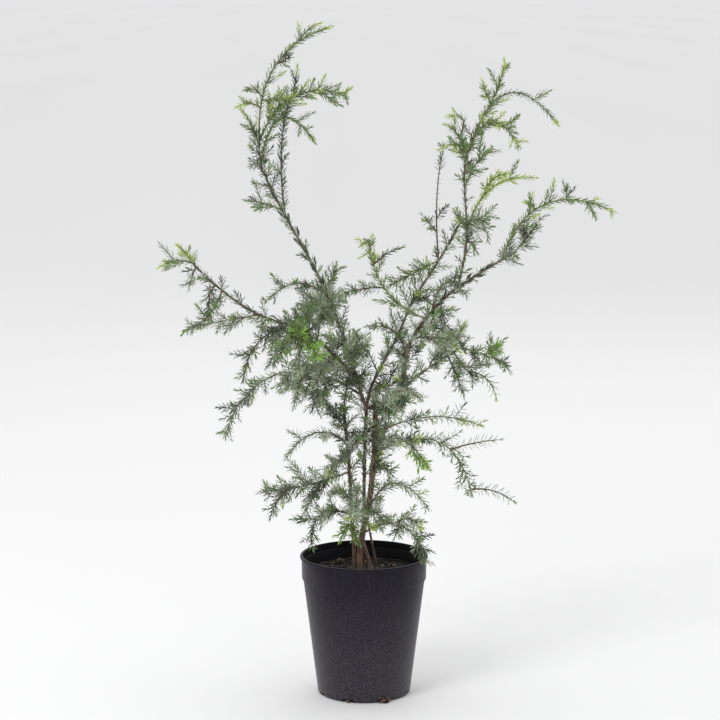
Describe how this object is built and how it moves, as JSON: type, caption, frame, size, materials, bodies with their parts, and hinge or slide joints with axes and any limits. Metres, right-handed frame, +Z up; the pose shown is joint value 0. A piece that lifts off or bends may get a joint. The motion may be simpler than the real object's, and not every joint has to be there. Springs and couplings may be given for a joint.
{
  "type": "potted grey honey myrtle shrub",
  "caption": "Airy evergreen shrub with thin woody stems, arching boughs and needle-like grey-green foliage, growing in a tapered black nursery pot that stands on its flat base.",
  "frame": {"origin": "centre of the pot's flat underside", "axes": "+Z up along the pot's axis, +X to the right as seen from the plant's front, +Y away from the front"},
  "size_m": [0.563, 0.3785, 0.8641],
  "materials": {
    "pot": "satin black moulded plastic with a fine upright grain",
    "soil": "dark damp potting mix of bark and peat with pale bits",
    "bark": "grey-brown bark that peels in thin tan strips",
    "bough": "smooth reddish-brown young bark",
    "foliage": "matte grey-green needle-like leaves, bright lime at the growing tips"
  },
  "bodies": {
    "root": {"pot": "pot", "soil": "soil", "trunk": "bark", "left_stem": "bark", "bare_stick": "bark", "tall_right_bough": "bough", "right_bough": "bough", "tall_left_bough": "bough", "leader": "bough", "right_side_bough": "bough", "left_bough": "bough", "low_left_bough": "bough", "left_crest": "foliage", "left_crest_wing": "foliage", "left_crest_arm": "foliage", "left_crest_low_arm": "foliage", "left_leader_tuft": "foliage", "left_tuft": "foliage", "left_twin_shoot": "foliage", "left_over_shoot": "foliage", "left_dense_back": "foliage", "left_dense_upper": "foliage", "left_dense_rear": "foliage", "left_dense_front": "foliage", "left_hanging_arc": "foliage", "left_under_shoot": "foliage", "far_left_shoot": "foliage", "low_left_end": "foliage", "low_left_under": "foliage", "left_stem_head": "foliage", "lower_left_shoot": "foliage", "hind_left_shoot": "foliage", "foot_left_shoot": "foliage", "heart_low_front": "foliage", "heart_front": "foliage", "right_low_front": "foliage", "right_low_back": "foliage", "right_low_outer": "foliage", "right_low_tuft": "foliage", "right_low_arch": "foliage", "rim_droop": "foliage", "heart_back": "foliage", "tall_right_tuft": "foliage", "tall_right_end": "foliage", "right_thin_upright": "foliage", "middle_sprig": "foliage", "right_bough_end": "foliage", "far_right_shoot": "foliage", "right_front_upper": "foliage", "right_front_lower": "foliage", "right_crest": "foliage", "right_crest_arch": "foliage", "right_crest_near_arch": "foliage", "right_crest_left_arm": "foliage", "right_crest_tuft": "foliage", "right_shoot": "foliage", "right_crest_low_tuft": "foliage", "right_side_upper": "foliage", "right_side_under": "foliage", "right_side_end": "foliage"}
  },
  "joints": []
}
